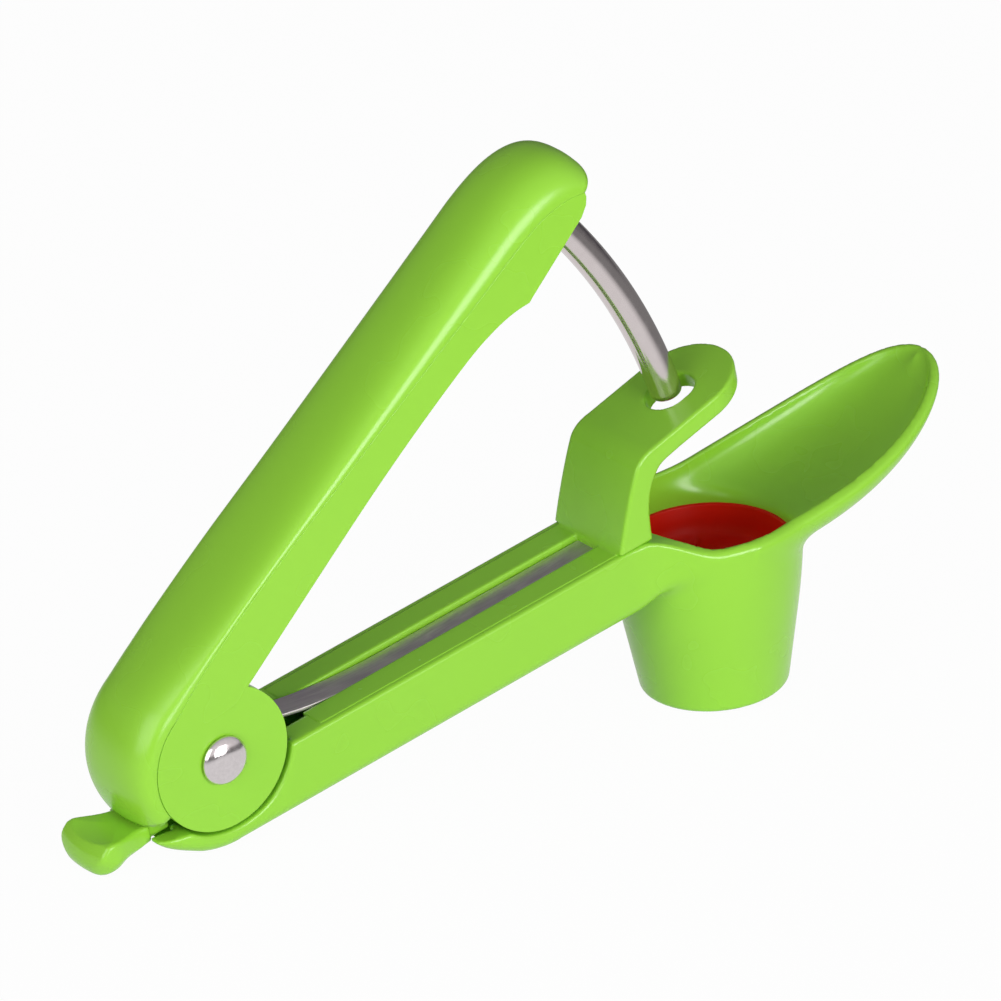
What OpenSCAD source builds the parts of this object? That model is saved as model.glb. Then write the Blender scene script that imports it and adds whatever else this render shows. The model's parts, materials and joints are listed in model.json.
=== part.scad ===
// Lever pitter for olives and cherries.
// The arm datum has the hinge pin's axis along Y through its origin, X along the arm towards the
// cup, and Z square to the arm's top face. The finished part stands on a table: the whole datum
// is tilted so that the lock's tab and the rear edge of the cup's foot both touch the floor.

/* [Arm] */
// Distance from the hinge pin to the cup's axis, along the arm
reach = 120; // [114:1:130]
// Width of the arm and of the handle
arm_w = 21; // [19:0.5:24]
// Depth of the arm's top face below the pin's axis
arm_drop = 4.7; // [4:0.1:5.5]
// Height of the arm from its underside to its top face
arm_h = 14; // [13:0.5:16]
// Thickness of the arm's side walls and floor
arm_wall = 2; // [1.6:0.1:2.6]
// Width of the ledge inside each wall that carries the bracket's plate
ledge_w = 1.1; // [0.8:0.1:1.5]
// Radius of the rounded lower edges
edge_r = 2.6; // [1:0.2:4]

/* [Hinge] */
// Radius of the handle's round ears
ear_r = 14.2; // [13:0.1:15]
// Thickness of each ear
ear_t = 3; // [2.4:0.1:3.6]
// Gap between the ears and the arm's cradle
ear_gap = 0.8; // [0.5:0.1:1.2]
// Side play between an ear and the arm's tongue
side_play = 0.3; // [0.2:0.05:0.5]
// Radius of the rivet's shaft
pin_r = 2.5; // [2:0.1:3]
// Radial running clearance round the shaft
pin_play = 0.05; // [0.03:0.01:0.08]
// Radius of the boss that holds the rivet in the arm
boss_r = 7.2; // [6:0.1:8]
// Radius of the rivet's domed heads
head_r = 4.6; // [4:0.1:6]
// Height of the domed heads
head_h = 1.8; // [1.2:0.1:2.4]

/* [Handle] */
// Angle of the open handle above the arm
open_angle = 31.6; // [30:0.2:34]
// Angle that the handle turns when it is squeezed shut
squeeze_angle = 26; // [20:0.5:26.5]
// How much further the handle's tip is from the pin than the cup's axis is
handle_over = 6; // [4:0.5:9]
// Height of the handle's back above the line through the pin
back_h = 19.6; // [18.5:0.1:21]
// Drop of the back's edges below its crown
back_crown = 1.6; // [0.8:0.1:2.4]
// Radius of the back's long edges
back_edge_r = 4.5; // [3:0.1:6]
// Thickness of the side panels
panel_t = 2.4; // [1.8:0.1:2.8]
// Thickness of the back cover's wall
cover_t = 2; // [1.6:0.1:2.4]
// Width of the seam between cover and panels
seam_gap = 0.1; // [0.05:0.01:0.2]
// Radius of the cross bars between the ears
bar_r = 1.6; // [1.2:0.1:1.8]

/* [Plunger] */
// Radius of the steel rod
rod_r = 3.15; // [2.6:0.05:3.4]
// Distance that the rod's arc stays behind the cup's axis
rod_lag = 3.3; // [2.5:0.1:4]
// Angle of the rod's tip above the arm when the handle is open
tip_angle = 7.6; // [7:0.1:9]
// Clearance round the rod in its socket
socket_play = 0.05; // [0.02:0.01:0.1]
// Radius of the pin across the rod's root
cross_pin_r = 1; // [0.8:0.1:1.2]

/* [Guide bracket] */
// Thickness of the slotted plate
plate_t = 2.2; // [1.8:0.1:2.6]
// Side clearance of the plate between the arm's walls
plate_gap = 0.1; // [0.05:0.05:0.2]
// Width of the slot over the spring
slot_w = 6.6; // [6.4:0.1:8]
// Distance from the foot of the upright to the cup's axis
foot_back = 27.7; // [27:0.1:30]
// Length of the upright's foot along the arm
foot_len = 7.2; // [6.5:0.1:8]
// Height of the upright's shoulder above the arm
shoulder_h = 17; // [16:0.1:18]
// Width of the upright and of its hook
hook_w = 20.8; // [18:0.1:21]
// Thickness of the hook
hook_t = 3.9; // [3.2:0.1:4.2]
// Slope of the hook above the arm's top face
hook_slope = 12; // [9:0.5:12]
// Radius of the guide hole
guide_r = 4.4; // [4.2:0.1:5.5]
// Extra length of the guide hole along the arm
guide_slot = 1.6; // [1:0.1:3]
// Distance from the rod's path to the middle of the guide hole
guide_lead = 0.6; // [0:0.1:0.8]

/* [Cup] */
// Lean of the cup's axis away from the arm's normal
cup_lean = 8; // [5:0.5:10]
// Depth of the cup's foot below the pin's axis, along the cup
cup_depth = 48.2; // [46:0.1:52]
// Radius of the foot
foot_r = 14.4; // [13:0.1:16]
// Half angle of the cup's taper
cup_taper = 9.7; // [6:0.1:11]
// Thickness of the cup's wall
cup_wall = 2; // [1.6:0.1:2.6]
// Height of the shelf that carries the insert, above the foot
shelf_h = 18; // [16:0.5:20]
// Radius of the opening in the shelf
shelf_r = 11.5; // [10:0.5:12.5]

/* [Insert] */
// Height of the soft insert
insert_h = 9.5; // [8:0.5:11]
// Wall thickness of the insert
insert_wall = 1.5; // [1.2:0.1:2]
// Clearance between insert and cup
insert_gap = 0.15; // [0.1:0.05:0.3]
// Radius of the hole that the stone is pushed through
stone_r = 5.2; // [4.6:0.1:6]
// Length of the sleeve below the insert's floor
sleeve_len = 5; // [3:0.5:6]
// Width of the slits that part the insert's petals
slit_w = 1; // [0.6:0.1:1.4]
// Length of the slits outwards from the hole
petal_len = 3.2; // [2:0.2:4]
// Number of petals
petals = 6; // [4:1:8]

/* [Spoon] */
// Reach of the spoon's tip beyond the cup's axis
spoon_len = 55.5; // [48:0.5:62]
// Width of the spoon and of the cup's mouth
spoon_w = 38.4; // [37:0.2:40]
// Depth of the cup's rim below the arm's top face
rim_drop = 8.1; // [7.5:0.1:9]
// Rise of the spoon's tip above the cup's rim
tip_rise = 8.5; // [6:0.1:11]
// Thickness of the spoon's wall
spoon_wall = 2; // [1.6:0.1:2.4]

/* [Spring] */
// Width of the leaf spring
strip_w = 6; // [5:0.1:6.2]
// Thickness of the leaf spring
strip_t = 0.8; // [0.5:0.1:1]
// Depth of the spring's flat part below the arm's top face
strip_drop = 1.5; // [1.2:0.1:1.8]
// Clearance between the spring and what it is clamped in
strip_play = 0.1; // [0.05:0.05:0.3]
// Distance from the pin at which the spring starts to rise
strip_bend_x = 46; // [40:1:60]

/* [Lock] */
// Travel of the lock
lock_travel = 4.5; // [4:0.1:4.8]
// Width of the thumb tab
tab_w = 14.2; // [12:0.1:14.4]
// Width of the thumb tab where it passes under the handle's back
tab_waist = 9.8; // [9:0.1:11]
// Length of the thumb tab
tab_len = 12.1; // [11:0.1:13]
// Height of the thumb tab
tab_h = 6.9; // [6:0.1:7.2]
// Width of the lock's neck
neck_w = 8; // [6:0.1:8.4]
// Sliding clearance round the neck
neck_gap = 0.2; // [0.1:0.05:0.3]

/* [Screw] */
// Radius of the screw that holds the bracket
screw_r = 1.2; // [1:0.1:1.4]
// Radius of its head
screw_head_r = 2.4; // [2:0.1:2.8]
// Thickness of its head
screw_head_t = 1.6; // [1.2:0.1:2]
// Depth of its head's seat below the arm's top face
screw_grip = 8; // [6:0.5:9]
// Length of thread in the bracket
screw_bite = 3; // [2.5:0.5:5]

/* [Hidden] */
$fn = 96;

lime = "#8fd62f";
red = "#c8180f";
steel = "#b9b2b4";
eps = 0.02;

half_w = arm_w / 2;
foot_x = reach - foot_back;
handle_len = reach + handle_over;
arm_top = -arm_drop;
arm_low = arm_top - arm_h;
cradle_in = ear_r + ear_gap;
cradle_out = arm_drop + arm_h;
cradle_start = 212;
skin_step = 0.04;
ear_in = half_w - ear_t;
tongue_half = ear_in - side_play;
rod_arc = reach - rod_lag;
channel_half = half_w - arm_wall - ledge_w;
plate_half = half_w - arm_wall - plate_gap;
strip_top = arm_top - strip_drop;
strip_end_x = foot_x + foot_len / 2 + 2.6;

// Bars between the ears: one bears on the spring, the other is caught by the lock
bar_orbit = 12.2;
spring_bar_angle = 3;
catch_orbit = 11.6;
catch_bar_angle = 250;

// The lock: its tab stands behind the hub, its nose lies behind the catch bar
tab_rear_x = -27.8;
tab_top = -7.4;
tab_low = [tab_rear_x + 2.8, tab_top - tab_h];

// The table line touches the tab and the rear edge of the cup's foot
foot_rear_x = reach - cup_depth * sin(cup_lean) - foot_r * cos(cup_lean);
foot_rear_z = -cup_depth * cos(cup_lean) + foot_r * sin(cup_lean);
tilt = atan2(tab_low[1] - foot_rear_z, foot_rear_x - tab_low[0]);
lift = -foot_rear_x * sin(tilt) - foot_rear_z * cos(tilt);

neck_top = -10.6;
neck_low = -13.6;
nose_top = -10;
nose_x = -10.6;
nose_len = 2;
rib_out = 0.9;
rib_h = 1;
rib_z = -12.8;
rail_t = 2.2;

// The spoon's rim, in plan two half superellipses about a common middle
rim_mid_x = reach + 12;
rim_front = reach + spoon_len - rim_mid_x;
rim_rear = rim_mid_x - (foot_x + foot_len - 0.4);
front_power = 2.2;
rear_power = 2.6;
rim_z = arm_top - rim_drop;
dip_start_x = foot_x + foot_len - 2;
dip_end_x = reach - 7;
rise_power = 2.87;
bowl_steps = 40;
bowl_rings = 6;

// Middle of the finished part, which the frame's origin stands under
front_x = reach + spoon_len;
front_world = front_x * cos(tilt) - (rim_z + tip_rise) * sin(tilt);
rear_world = tab_rear_x * cos(tilt) - (tab_top - 3.6) * sin(tilt);
mid_x = (front_world + rear_world) / 2;

function smooth(t) = let (c = max(0, min(1, t))) c * c * (3 - 2 * c);
function signed_power(v, p) = sign(v) * pow(abs(v), p);
function bezier(a, b, c, n) = [for (i = [0:n]) let (t = i / n)
    pow(1 - t, 2) * a + 2 * t * (1 - t) * b + pow(t, 2) * c];
function polar(r, a) = [r * cos(a), r * sin(a)];

// Height of the rim at a place along the arm
function rim_height(x) =
    x < dip_end_x ? arm_top - rim_drop * smooth((x - dip_start_x) / (dip_end_x - dip_start_x))
    : x < reach - 2 ? rim_z
    : rim_z + tip_rise * pow((x - reach + 2) / (spoon_len + 2), rise_power);

// A point of the rim, drawn in by inset towards the middle
function rim_point(a, inset) = let (
        c = cos(a), s = sin(a),
        p = 2 / (c >= 0 ? front_power : rear_power),
        x = rim_mid_x + ((c >= 0 ? rim_front : rim_rear) - inset) * signed_power(c, p),
        y = (spoon_w / 2 - inset) * signed_power(s, p)
    ) [x, y, rim_height(x)];

// A point of the cup's throat, where its taper ends and the spoon begins
throat_h = cup_depth - 20;
hole_low = cup_depth - shelf_h + sleeve_len / 3;
stone_x = sqrt(pow(rod_arc, 2) - pow(reach * sin(cup_lean) - hole_low, 2))
    - reach * cos(cup_lean);
throat_r = foot_r + throat_h * tan(cup_taper);
function throat_point(a, inset, lift) = let (
        r = throat_r - inset, up = throat_h - cup_depth + lift, u = r * cos(a)
    ) [reach + up * sin(cup_lean) + u * cos(cup_lean), r * sin(a),
        up * cos(cup_lean) - u * sin(cup_lean)];

// The wall between throat and rim swells outwards and downwards
function wall_point(a, inset, t) = let (
        low = throat_point(a, inset, 0), high = rim_point(a, inset),
        mid = [low[0] + 0.6 * (high[0] - low[0]), low[1] + 0.6 * (high[1] - low[1]),
            low[2] + 0.12 * (high[2] - low[2]) + 0.8 * inset]
    ) pow(1 - t, 2) * low + 2 * t * (1 - t) * mid + pow(t, 2) * high;

module place() {
    translate([-mid_x, 0, lift]) rotate([0, -tilt, 0]) children();
}

module on_handle() {
    rotate([0, -open_angle, 0]) children();
}

module on_cup() {
    translate([reach, 0, 0]) rotate([0, cup_lean, 0]) translate([0, 0, -cup_depth]) children();
}

// An outline in X and Z, made thick along Y from y0 to y1
module across(y0, y1) {
    translate([0, y1, 0]) rotate([90, 0, 0]) linear_extrude(height = y1 - y0) children();
}

module cross_cylinder(r, y0, y1) {
    translate([0, y1, 0]) rotate([90, 0, 0]) cylinder(r = r, h = y1 - y0);
}

// A ring sector about the pin's axis, from angle a0 to angle a1
module swept(a0, a1) {
    rotate([90, 0, 0]) rotate([0, 0, a0]) rotate_extrude(angle = a1 - a0) children();
}

// Solid from throat to rim. Its root lies inside the cup's wall, or inside the cup's hollow
module bowl(inset, root_in, root_out, top_lift) {
    n = bowl_steps;
    turn = [for (i = [0:n - 1]) i * 360 / n];
    rings = concat(
        [[for (a = turn) throat_point(a, inset + root_in, -1.3)]],
        [[for (a = turn) throat_point(a, inset - root_out, root_out > 0 ? 0.2 : -0.3)]],
        [for (j = [1:bowl_rings]) [for (a = turn) wall_point(a, inset, j / bowl_rings)]],
        [[for (a = turn) rim_point(a, inset) + [0, 0, top_lift]]]);
    top = len(rings) - 1;
    last = len(rings) * n;
    points = concat([for (ring = rings) each ring],
        [throat_point(0, throat_r, -1.3), rim_point(90, spoon_w / 2) + [0, 0, top_lift]]);
    sides = [for (j = [0:top - 1]) for (i = [0:n - 1])
        let (k = (i + 1) % n, p = j * n + i, q = j * n + k)
        each [[p, p + n, q + n], [p, q + n, q]]];
    floor_faces = [for (i = [0:n - 1]) [last, i, (i + 1) % n]];
    lid_faces = [for (i = [0:n - 1]) [last + 1, top * n + (i + 1) % n, top * n + i]];
    polyhedron(points = points, faces = concat(sides, floor_faces, lid_faces));
}

module cup_cone(inset, z0, z1) {
    translate([0, 0, z0]) cylinder(h = z1 - z0, r1 = foot_r - inset + z0 * tan(cup_taper),
        r2 = foot_r - inset + z1 * tan(cup_taper));
}

// Cross-section of the arm, with rounded lower edges
module arm_section() {
    translate([-half_w, arm_low + edge_r]) square([arm_w, arm_h - edge_r]);
    translate([-half_w + edge_r, arm_low]) square([arm_w - 2 * edge_r, arm_h]);
    for (side = [-1, 1]) translate([side * (half_w - edge_r), arm_low + edge_r]) circle(r = edge_r);
}

// Cross-section of the cradle, at the right of its axis, a hair inside the arm's own skin
module cradle_section() {
    in_r = cradle_in + skin_step;
    out_r = cradle_out - skin_step;
    half = half_w - skin_step;
    translate([in_r, -half]) square([out_r - edge_r - in_r, 2 * half]);
    translate([in_r, -half + edge_r]) square([out_r - in_r, 2 * (half - edge_r)]);
    for (side = [-1, 1]) translate([out_r - edge_r, side * (half - edge_r)])
        intersection() {
            circle(r = edge_r);
            translate([in_r - out_r + edge_r, -edge_r]) square(2 * edge_r + out_r);
        }
}

module base_arm() {
    color(lime) place() difference() {
        union() {
            arm_beam();
            swept(cradle_start, 274) cradle_section();
            tongue();
            lock_rails();
            intersection() {
                on_cup() cup_cone(0, 0, throat_h);
                translate([reach - 60, -50, -90]) cube([120, 100, 90 + arm_top]);
            }
            bowl(0, 1, -0.12, 0.01);
        }
        channel();
        cross_cylinder(pin_r + pin_play, -half_w, half_w);
        lock_way();
        on_cup() cup_hollow();
        bowl(spoon_wall, 0.6, 0.35, 12);
        arm_screw_hole();
    }
}

module arm_beam() {
    front = foot_x + foot_len + 6;
    difference() {
        intersection() {
            rotate([90, 0, 90]) linear_extrude(height = front) arm_section();
            across(-half_w, half_w) polygon([[0, arm_low], [front, arm_low],
                [front, rim_height(front)], [dip_start_x + 2, arm_top], [0, arm_top]]);
        }
        cross_cylinder(cradle_in, -half_w - eps, half_w + eps);
    }
}

// The channel under the bracket's plate, and the recess that the plate lies in
module channel() {
    start = cradle_in - 2;
    plate_end = foot_x + foot_len;
    translate([start, -channel_half, arm_low + arm_wall])
        cube([foot_x - 7 - start, 2 * channel_half, arm_h]);
    translate([start, -half_w + arm_wall, arm_top - plate_t])
        cube([plate_end - start, arm_w - 2 * arm_wall, plate_t + 1]);
    translate([start, -slot_w / 2, strip_top - strip_t - strip_play])
        cube([strip_end_x + 2 * strip_play - start, slot_w, plate_t]);
}

module tongue() {
    cross_cylinder(boss_r, -tongue_half, tongue_half);
    across(-tongue_half, tongue_half) polygon([[-1.6, -2], [-1.6, -cradle_in - 0.6],
        [9.5, -cradle_in + 0.2], [7.2, -10], [5.4, -3]]);
}

// Rails either side of the lock's neck, standing on the cradle
module lock_rails() {
    for (side = [-1, 1]) intersection() {
        across(side > 0 ? neck_w / 2 + neck_gap : -neck_w / 2 - neck_gap - rail_t,
            side > 0 ? neck_w / 2 + neck_gap + rail_t : -neck_w / 2 - neck_gap)
            polygon([[-13.6, -17], [-1.6, -17], [-1.6, neck_top - 0.4], [-9.6, neck_top - 0.4]]);
        difference() {
            cross_cylinder(cradle_in + 1, -half_w, half_w);
            cross_cylinder(catch_orbit + bar_r + 0.3, -half_w, half_w);
        }
    }
}

// Room for the lock's tab, neck and ribs, over their whole travel
module lock_way() {
    reach_in = nose_x + lock_travel + neck_gap;
    translate([-30, -neck_w / 2 - neck_gap, neck_low - neck_gap])
        cube([30 + reach_in + 0.6, neck_w + 2 * neck_gap, 8]);
    translate([-35, -ear_in, tab_top - 5.5 - neck_gap])
        cube([35 + tab_rear_x + tab_len + lock_travel + 0.4, 2 * ear_in, 9]);
    for (side = [-1, 1]) translate([nose_x - 6, side > 0 ? 0 : -neck_w / 2 - rib_out - neck_gap,
        rib_z - neck_gap])
        cube([reach_in - nose_x + 6, neck_w / 2 + rib_out + neck_gap, rib_h + 2 * neck_gap]);
}

module cup_hollow() {
    translate([0, 0, -eps]) cylinder(h = shelf_h + 2 * eps, r = shelf_r);
    cup_cone(cup_wall, -eps, shelf_h - cup_wall);
    cup_cone(cup_wall, shelf_h, throat_h);
}

module arm_screw_hole() {
    translate([foot_x + foot_len / 2, 0, arm_low - eps]) {
        cylinder(h = arm_h, r = screw_r + 0.2, $fn = 48);
        cylinder(h = arm_h - screw_grip + 2 * eps, r = screw_head_r + 0.3, $fn = 48);
    }
}

// Side outline of upright and hook
module hook_outline() {
    rise = tan(hook_slope);
    shoulder = [foot_x + shoulder_h * 0.47, arm_top + shoulder_h];
    tip = shoulder[0] + 30;
    under = hook_t / cos(hook_slope);
    inner_x = foot_x + foot_len;
    polygon(concat(
        [[inner_x, arm_top], [foot_x, arm_top]],
        bezier([foot_x + shoulder_h * 0.42, arm_top + shoulder_h * 0.9], shoulder,
            [shoulder[0] + 3, shoulder[1] + 3 * rise], 6),
        [[tip, shoulder[1] + 30 * rise], [tip, shoulder[1] + 30 * rise - under]],
        bezier([inner_x + 8.5, shoulder[1] - under + (inner_x + 8.5 - shoulder[0]) * rise],
            [inner_x + 2.6, shoulder[1] - under - 2.6], [inner_x + 0.8, arm_top + 6.5], 8)));
}

module guide_bracket() {
    hook_end = foot_x + shoulder_h * 0.47 + 18.6;
    slot_end = foot_x + 0.6;
    color(lime) place() difference() {
        union() {
            translate([cradle_in + 1, -plate_half, arm_top - plate_t])
                cube([foot_x + foot_len - cradle_in - 1.1, 2 * plate_half, plate_t]);
            intersection() {
                across(-hook_w / 2, hook_w / 2) hook_outline();
                union() {
                    translate([foot_x - 1, -hook_w / 2, arm_top - 1])
                        cube([hook_end - foot_x + 1, hook_w, 60]);
                    translate([hook_end, 0, arm_top - 1]) cylinder(h = 60, r = hook_w / 2);
                }
            }
        }
        cross_cylinder(cradle_in + 1.6, -half_w, half_w);
        translate([0, -slot_w / 2, arm_top - plate_t - 1]) cube([slot_end, slot_w, plate_t + 2]);
        translate([0, -slot_w / 2, arm_top - plate_t - 1])
            cube([strip_end_x + 2 * strip_play, slot_w, 1 + plate_t - strip_drop + strip_play]);
        guide_hole();
        translate([foot_x + foot_len / 2, 0, arm_top - plate_t - 1])
            cylinder(h = plate_t + screw_bite + 1.5, r = screw_r + 0.02, $fn = 48);
    }
}

// A slotted hole square to the hook, on the rod's arc
module guide_hole() {
    x = rod_arc * cos(tip_angle) + guide_lead;
    z = rod_arc * sin(tip_angle);
    translate([x, 0, z]) rotate([0, -hook_slope, 0]) {
        for (side = [-1, 1]) translate([side * guide_slot / 2, 0, -10])
            cylinder(h = 20, r = guide_r);
        translate([-guide_slot / 2, -guide_r, -10]) cube([guide_slot, 2 * guide_r, 20]);
    }
}

module cup_insert() {
    low = shelf_h + 0.05;
    high = shelf_h + insert_h;
    out_low = foot_r - cup_wall - insert_gap + low * tan(cup_taper);
    out_high = foot_r - cup_wall - insert_gap + high * tan(cup_taper);
    color(red) place() on_cup() difference() {
        union() {
            rotate_extrude() polygon([[0, low], [out_low, low], [out_high, high],
                [out_high - insert_wall, high], [out_low - insert_wall - 0.4, low + 3.4],
                [stone_r + 3, low + insert_wall], [0, low + insert_wall]]);
            translate([stone_x, 0, shelf_h - sleeve_len])
                cylinder(h = sleeve_len + 1, r = stone_r + insert_wall);
        }
        translate([stone_x, 0, 0]) {
            cylinder(h = high, r = stone_r);
            for (i = [0:petals - 1]) rotate([0, 0, (i + 0.5) * 360 / petals])
                translate([stone_r - 1, -slit_w / 2, 0]) cube([petal_len + 1, slit_w, high]);
        }
    }
}

// Upper edge of the side panels, where the back cover meets them
function seam_line() = concat(
    bezier([0, ear_r], [14, 16.6], [34, 16.2], 6),
    bezier([34, 16.2], [handle_len - 56, 14.2], [handle_len - 22, 13.2], 6),
    bezier([handle_len - 22, 13.2], [handle_len - 12, 12.9], [handle_len - 5, 7.4], 6));

// Lower edge of the side panels, from the tip back to the hub
heel = [handle_len - 25.5, 3.1];
function belly_line() = concat(
    [[handle_len - 7, 4.6], heel],
    bezier([heel[0] - 5, 5.5], [heel[0] - 30.5, 8.6], [13, 5.2], 8));

module panel_outline() {
    circle(r = ear_r);
    polygon(concat([[0, 0]], [for (p = seam_line()) p], belly_line()));
}

module handle_frame() {
    color(lime) place() on_handle() difference() {
        union() {
            for (side = [-1, 1]) {
                across(side > 0 ? half_w - panel_t : -half_w,
                    side > 0 ? half_w : -half_w + panel_t) panel_outline();
                across(side > 0 ? ear_in : -half_w, side > 0 ? half_w : -ear_in)
                    circle(r = ear_r);
            }
            frame_web();
            rod_socket();
            for (bar = [[bar_orbit, spring_bar_angle], [catch_orbit, catch_bar_angle]])
                rotate([0, open_angle - bar[1], 0]) translate([bar[0], 0, 0])
                    cross_cylinder(bar_r, -ear_in - eps, ear_in + eps);
        }
        cross_cylinder(pin_r + pin_play, -half_w - 1, half_w + 1);
        rod_root(rod_r + socket_play);
        rod_cross(cross_pin_r + socket_play, 1);
    }
}

// A web that ties the two panels together under the cover
module frame_web() {
    across(-half_w + panel_t - eps, half_w - panel_t + eps)
        polygon([[20, 11.4], [handle_len - 20, 9.6], [handle_len - 20, 11.4], [20, 13.2]]);
}

// The block at the tip that the rod is set in
module rod_socket() {
    difference() {
        across(-half_w + panel_t - eps, half_w - panel_t + eps)
            polygon([[rod_arc - 7, 3.9], [rod_arc + 2.4, 4.8], [handle_len - 5.6, 7.3],
                [handle_len - 7.5, 10], [rod_arc - 2, 12], [rod_arc - 7, 12.4]]);
        translate([handle_len, 0, 0]) rotate([0, 0, 45]) translate([6, -20, 0]) cube([20, 40, 20]);
    }
}

// The rod's root inside its socket, a piece of the rod's own arc
root_angle = 4.4;
module rod_root(r) {
    swept(-1, root_angle) translate([rod_arc, 0]) circle(r = r, $fn = 48);
}

module rod_cross(r, extra) {
    a = root_angle - 1.2;
    half = 5 + extra * (half_w - panel_t - 5.6);
    translate([rod_arc * cos(a), 0, rod_arc * sin(a)]) cross_cylinder(r, -half, half, $fn = 32);
}

module plunger_rod() {
    start = tip_angle - open_angle;
    color(steel) place() on_handle() difference() {
        swept(start, root_angle - 0.1) translate([rod_arc, 0]) circle(r = rod_r, $fn = 64);
        rod_cross(cross_pin_r + socket_play, 1);
        rotate([0, -start, 0]) translate([rod_arc, 0, -1.6 * rod_r])
            sphere(r = 1.9 * rod_r);
    }
}

module rod_pin() {
    color(steel) place() on_handle() rod_cross(cross_pin_r, 0.9);
}

// Cross-section of the back: a shallow crown between rounded edges, with its middle at height top
cover_end_angle = 201 - open_angle;
function crown(y, half, top) = top - back_crown * pow(y / half, 2);
function half_section(half, top, r) = let (z = crown(half - r, half, top) - r) concat(
    [for (a = [0:15:75]) [half - r + r * cos(a), z + r * sin(a)]],
    [for (i = [0:3]) let (y = (half - r) * (1 - i / 4)) [y, crown(y, half, top)]]);
function section(inset, low) = let (
        half = half_w - inset, h = half_section(half, back_h - inset, back_edge_r - inset),
        n = len(h)
    ) concat([[half, low]], h, [[0, back_h - inset]],
        [for (i = [n - 1:-1:0]) [-h[i][0], h[i][1]]], [[-half, low]]);

// The back's full solid with its walls drawn in by inset
module back_solid(inset) {
    nose = 9.6;
    union() {
        intersection() {
            rotate([90, 0, 90]) linear_extrude(height = handle_len + 1)
                polygon(section(inset, 0));
            across(-half_w - 1, half_w + 1) back_side(inset);
            translate([0, 0, -1]) linear_extrude(height = 40) back_plan(inset);
        }
        swept(90, cover_end_angle + (inset > 0 ? 2 : 0)) rotate([0, 0, -90]) mirror([1, 0])
            polygon(section(inset, inset > 0 ? 1 : 8));
    }
}

// Side view of the back's tip
module back_side(inset) {
    end = handle_len - inset;
    top = back_h - inset + 1;
    polygon(concat([[-1, top], [-1, -1], [end - 4.6, -1]],
        bezier([end - 3.4, 6.4], [end - 0.4, 9], [end - 0.2, 12.4], 3),
        bezier([end - 0.4, 13.4], [end - 1.6, 19], [end - 14, back_h - inset + 0.4], 5)));
}

// Plan of the back, rounded round the tip
module back_plan(inset) {
    half = half_w - inset + 0.5;
    end = handle_len - inset;
    polygon(concat([[-1, -half], [end - 10, -half]],
        bezier([end - 7.5, -half + 0.6], [end, -half + 1.8], [end, 0], 6),
        bezier([end, 0], [end, half - 1.8], [end - 7.5, half - 0.6], 6),
        [[end - 10, half], [-1, half]]));
}

// What lies under the seam belongs to the frame, and what lies past the lower end is open
module under_seam() {
    union() {
        circle(r = ear_r + seam_gap);
        translate([0, seam_gap]) polygon(concat([[0, -60], [0, 0]],
            [for (p = seam_line()) p], [[handle_len + 20, 0], [handle_len + 20, -60]]));
        polygon([[0, 0], polar(60, cover_end_angle), [-60, -60], [0, -60]]);
    }
}

module handle_cover() {
    color(lime) place() on_handle() difference() {
        back_solid(0);
        back_solid(cover_t);
        across(-half_w - 1, half_w + 1) under_seam();
    }
}

module rivet_dome(side) {
    ball_r = (pow(head_r, 2) + pow(head_h, 2)) / (2 * head_h);
    face = half_w + 0.15;
    intersection() {
        translate([0, side * (face + head_h - ball_r), 0]) sphere(r = ball_r);
        cross_cylinder(head_r, side > 0 ? face : -face - head_h,
            side > 0 ? face + head_h : -face);
    }
}

module hinge_rivet() {
    color(steel) place() union() {
        rivet_dome(-1);
        cross_cylinder(pin_r, -half_w - 0.5, half_w + 1);
    }
}

module rivet_cap() {
    color(steel) place() difference() {
        rivet_dome(1);
        cross_cylinder(pin_r + 0.02, 0, half_w + 1.02);
    }
}

// The spring's upper line: flat in the slot, then rising to the bar between the ears
function strip_line() = let (
        bar = polar(bar_orbit, spring_bar_angle),
        end = [bar[0] - 1.6, bar[1] - bar_r + 0.45]
    ) bezier([strip_bend_x, strip_top], [strip_bend_x * 0.5, strip_top], end, 10);

module leaf_spring() {
    upper = concat([[strip_end_x, strip_top]], strip_line());
    color(steel) place() difference() {
        across(-strip_w / 2, strip_w / 2) polygon(concat(upper,
            [for (i = [len(upper) - 1:-1:0]) upper[i] - [0, strip_t]]));
        translate([foot_x + foot_len / 2, 0, strip_top - 2])
            cylinder(h = 4, r = screw_r + 0.2, $fn = 48);
    }
}

module lock_slide() {
    color(lime) place() union() {
        tab();
        translate([tab_rear_x + tab_len - 2, -neck_w / 2, neck_low])
            cube([nose_x - tab_rear_x - tab_len + 2, neck_w, neck_top - neck_low]);
        translate([nose_x - nose_len, -neck_w / 2, neck_low])
            cube([nose_len, neck_w, nose_top - neck_low]);
        translate([nose_x - 4.5, -neck_w / 2 - rib_out, rib_z])
            cube([4.5, neck_w + 2 * rib_out, rib_h]);
    }
}

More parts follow.
